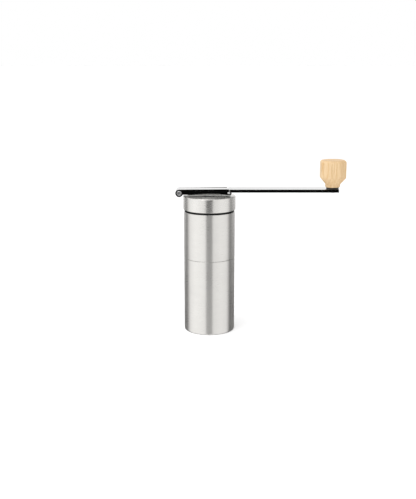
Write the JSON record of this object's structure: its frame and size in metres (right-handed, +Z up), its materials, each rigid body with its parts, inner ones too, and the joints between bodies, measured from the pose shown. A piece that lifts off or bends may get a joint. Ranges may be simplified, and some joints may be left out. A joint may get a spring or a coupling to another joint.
{
  "type": "hand crank coffee grinder",
  "caption": "Slim steel hand coffee grinder with a lift-off lid, a pull-off grounds cup, an adjustable conical burr and a folding crank with a faceted wooden knob.",
  "frame": {"origin": "centre of the flat underside of the grounds cup, on the body's axis", "axes": "+Z up the body's axis, +X along the crank arm to the knob, +Y completes a right-handed frame"},
  "size_m": [0.1665, 0.0516, 0.1714],
  "materials": {
    "body_steel": "satin, brushed round the body",
    "crank_steel": "mirror polished stainless steel",
    "hardware_steel": "plain turned steel",
    "black_plastic": "fine matt moulding",
    "black_rubber": "matt silicone",
    "bushing_brass": "turned",
    "burr_ceramic": "unglazed, ground edges",
    "white_nylon": "plain moulding",
    "knob_wood": "pale straight-grained wood, sanded and oiled"
  },
  "bodies": {
    "cup": {"grounds_cup": "body_steel"},
    "hopper": {"hopper_tube": "body_steel", "cup_seal": "black_rubber", "burr_housing": "black_plastic", "burr_retainer": "hardware_steel", "burr_screw_1": "hardware_steel", "burr_screw_2": "hardware_steel", "burr_screw_3": "hardware_steel", "outer_burr": "burr_ceramic", "bearing_spider": "black_plastic", "upper_bushing": "bushing_brass", "lower_bushing": "bushing_brass"},
    "drive": {"drive_shaft": "hardware_steel", "shaft_clip": "hardware_steel", "thrust_washer": "white_nylon", "burr_spring": "hardware_steel"},
    "burr": {"inner_burr": "burr_ceramic", "burr_carrier": "black_plastic"},
    "dial": {"adjustment_dial": "black_plastic"},
    "lid": {"lid_shell": "body_steel", "lid_liner": "black_plastic", "lid_gasket": "black_rubber"},
    "handle": {"crank_bracket": "crank_steel", "crank_hub": "hardware_steel", "hinge_pin": "hardware_steel"},
    "arm": {"crank_arm": "crank_steel", "knob_spindle": "hardware_steel", "knob_washer": "black_plastic"},
    "knob": {"crank_knob": "knob_wood", "knob_bushing": "white_nylon"}
  },
  "joints": [
    {"name": "cup_release", "type": "slide", "parent": "cup", "child": "hopper", "axis": [0, 0, 1], "range_m": [0, 0.025]},
    {"name": "crank_turn", "type": "hinge", "parent": "hopper", "child": "drive", "pos_m": [0, 0, 0.1], "axis": [0, 0, 1], "continuous": true},
    {"name": "dial_turn", "type": "hinge", "parent": "drive", "child": "dial", "pos_m": [0, 0, 0.06], "axis": [0, 0, 1], "range_deg": [0, 540]},
    {"name": "burr_adjust", "type": "slide", "parent": "drive", "child": "burr", "axis": [0, 0, 1], "range_m": [0, 0.0008], "deforming": ["burr_spring"]},
    {"name": "handle_lift", "type": "slide", "parent": "drive", "child": "handle", "axis": [0, 0, 1], "range_m": [0, 0.024]},
    {"name": "lid_lift", "type": "slide", "parent": "hopper", "child": "lid", "axis": [0, 0, 1], "range_m": [0, 0.012]},
    {"name": "crank_fold", "type": "hinge", "parent": "handle", "child": "arm", "pos_m": [-0.0296, 0, 0.1398], "axis": [0, 1, 0], "range_deg": [-260, 0]},
    {"name": "knob_spin", "type": "hinge", "parent": "arm", "child": "knob", "pos_m": [0.1209, 0, 0.155], "axis": [0, 0, 1], "continuous": true}
  ],
  "couplings": [
    {"joint": "dial_turn", "follows": "burr_adjust", "rad_per_m": 11781},
    {"joint": "lid_lift", "follows": "handle_lift", "ratio": 0.5}
  ]
}
